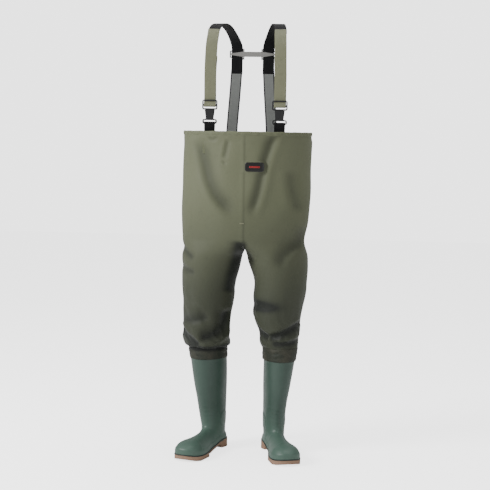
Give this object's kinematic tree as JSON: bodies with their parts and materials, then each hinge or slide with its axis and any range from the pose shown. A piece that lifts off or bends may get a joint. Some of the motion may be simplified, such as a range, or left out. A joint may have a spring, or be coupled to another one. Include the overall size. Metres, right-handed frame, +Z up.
{
  "type": "chest waders",
  "caption": "Chest waders: olive coated-fabric bib and legs welded to green moulded boots, held by braces with side-release buckles and a back yoke.",
  "frame": {"origin": "on the ground, under the middle of the whole: half-way between the boots, and half-way from the toes to the bib's back", "axes": "+Z up; -Y the wearer's front, the way the toes point; +X the wearer's left"},
  "size_m": [0.442, 0.3371, 1.4669],
  "materials": {
    "coated_fabric": "pvc-coated, semi-matt",
    "boot_pvc": "moulded, satin",
    "sole_pvc": "moulded, matt",
    "lining_knit": "knitted",
    "black_webbing": "woven",
    "olive_webbing": "woven",
    "grey_elastic": "woven, dark edges",
    "black_plastic": "moulded",
    "grey_plastic": "moulded",
    "badge": "welded patch"
  },
  "bodies": {
    "bib": {"right_bib_panel": "coated_fabric", "left_bib_panel": "coated_fabric", "hem_band": "coated_fabric", "front_seam_tape": "coated_fabric", "back_seam_tape": "coated_fabric", "crotch_tape": "coated_fabric", "badge": "badge", "right_tab": "black_webbing", "right_tab_patch": "coated_fabric", "right_socket": "black_plastic", "right_back_anchor": "grey_elastic", "right_back_patch": "coated_fabric", "left_tab": "black_webbing", "left_tab_patch": "coated_fabric", "left_socket": "black_plastic", "left_back_anchor": "grey_elastic", "left_back_patch": "coated_fabric"},
    "braces": {"right_back_elastic": "grey_elastic", "right_shoulder_strap": "black_webbing", "right_front_strap": "olive_webbing", "right_strap_tail": "olive_webbing", "left_back_elastic": "grey_elastic", "left_shoulder_strap": "black_webbing", "left_front_strap": "olive_webbing", "left_strap_tail": "olive_webbing"},
    "yoke": {"back_yoke": "grey_plastic"},
    "right_buckle": {"right_plug": "black_plastic", "right_strap_fold": "olive_webbing"},
    "right_outer_prong": {"right_prong_outer": "black_plastic"},
    "right_inner_prong": {"right_prong_inner": "black_plastic"},
    "right_thigh": {"right_leg": "coated_fabric"},
    "right_shin": {"right_cuff": "coated_fabric", "right_band": "coated_fabric", "right_boot": "boot_pvc", "right_lining": "lining_knit", "right_insole": "lining_knit", "right_sole": "sole_pvc"},
    "left_buckle": {"left_plug": "black_plastic", "left_strap_fold": "olive_webbing"},
    "left_outer_prong": {"left_prong_outer": "black_plastic"},
    "left_inner_prong": {"left_prong_inner": "black_plastic"},
    "left_thigh": {"left_leg": "coated_fabric"},
    "left_shin": {"left_cuff": "coated_fabric", "left_band": "coated_fabric", "left_boot": "boot_pvc", "left_lining": "lining_knit", "left_insole": "lining_knit", "left_sole": "sole_pvc"}
  },
  "joints": [
    {"name": "braces_fold", "type": "hinge", "parent": "bib", "child": "braces", "pos_m": [0, 0.146, 1.16], "axis": [-1, 0, 0], "range_deg": [0, 140]},
    {"name": "yoke_slide", "type": "slide", "parent": "braces", "child": "yoke", "axis": [0, 0, 1], "range_m": [-0.03, 0]},
    {"name": "right_buckle_adjust", "type": "slide", "parent": "braces", "child": "right_buckle", "axis": [0, 0, 1], "range_m": [0, 0.06]},
    {"name": "right_prong_squeeze", "type": "hinge", "parent": "right_buckle", "child": "right_outer_prong", "pos_m": [-0.1265, -0.073, 1.172], "axis": [0, -1, 0], "range_deg": [0, 7], "stiffness_Nm_per_rad": 0.02},
    {"name": "right_inner_prong_squeeze", "type": "hinge", "parent": "right_buckle", "child": "right_inner_prong", "pos_m": [-0.1075, -0.073, 1.172], "axis": [0, -1, 0], "range_deg": [-7, 0], "stiffness_Nm_per_rad": 0.02},
    {"name": "right_hip", "type": "hinge", "parent": "bib", "child": "right_thigh", "pos_m": [-0.109, 0.027, 0.79], "axis": [-1, 0, 0], "range_deg": [-15, 45]},
    {"name": "right_knee", "type": "hinge", "parent": "right_thigh", "child": "right_shin", "pos_m": [-0.124, 0.041, 0.47], "axis": [1, 0, 0], "range_deg": [0, 50]},
    {"name": "left_buckle_adjust", "type": "slide", "parent": "braces", "child": "left_buckle", "axis": [0, 0, 1], "range_m": [0, 0.06]},
    {"name": "left_prong_squeeze", "type": "hinge", "parent": "left_buckle", "child": "left_outer_prong", "pos_m": [0.1265, -0.073, 1.172], "axis": [0, 1, 0], "range_deg": [0, 7], "stiffness_Nm_per_rad": 0.02},
    {"name": "left_inner_prong_squeeze", "type": "hinge", "parent": "left_buckle", "child": "left_inner_prong", "pos_m": [0.1075, -0.073, 1.172], "axis": [0, 1, 0], "range_deg": [-7, 0], "stiffness_Nm_per_rad": 0.02},
    {"name": "left_hip", "type": "hinge", "parent": "bib", "child": "left_thigh", "pos_m": [0.109, 0.027, 0.79], "axis": [-1, 0, 0], "range_deg": [-15, 45]},
    {"name": "left_knee", "type": "hinge", "parent": "left_thigh", "child": "left_shin", "pos_m": [0.124, 0.041, 0.47], "axis": [1, 0, 0], "range_deg": [0, 50]}
  ],
  "couplings": [
    {"joint": "right_inner_prong_squeeze", "follows": "right_prong_squeeze", "ratio": -1},
    {"joint": "left_inner_prong_squeeze", "follows": "left_prong_squeeze", "ratio": -1}
  ]
}
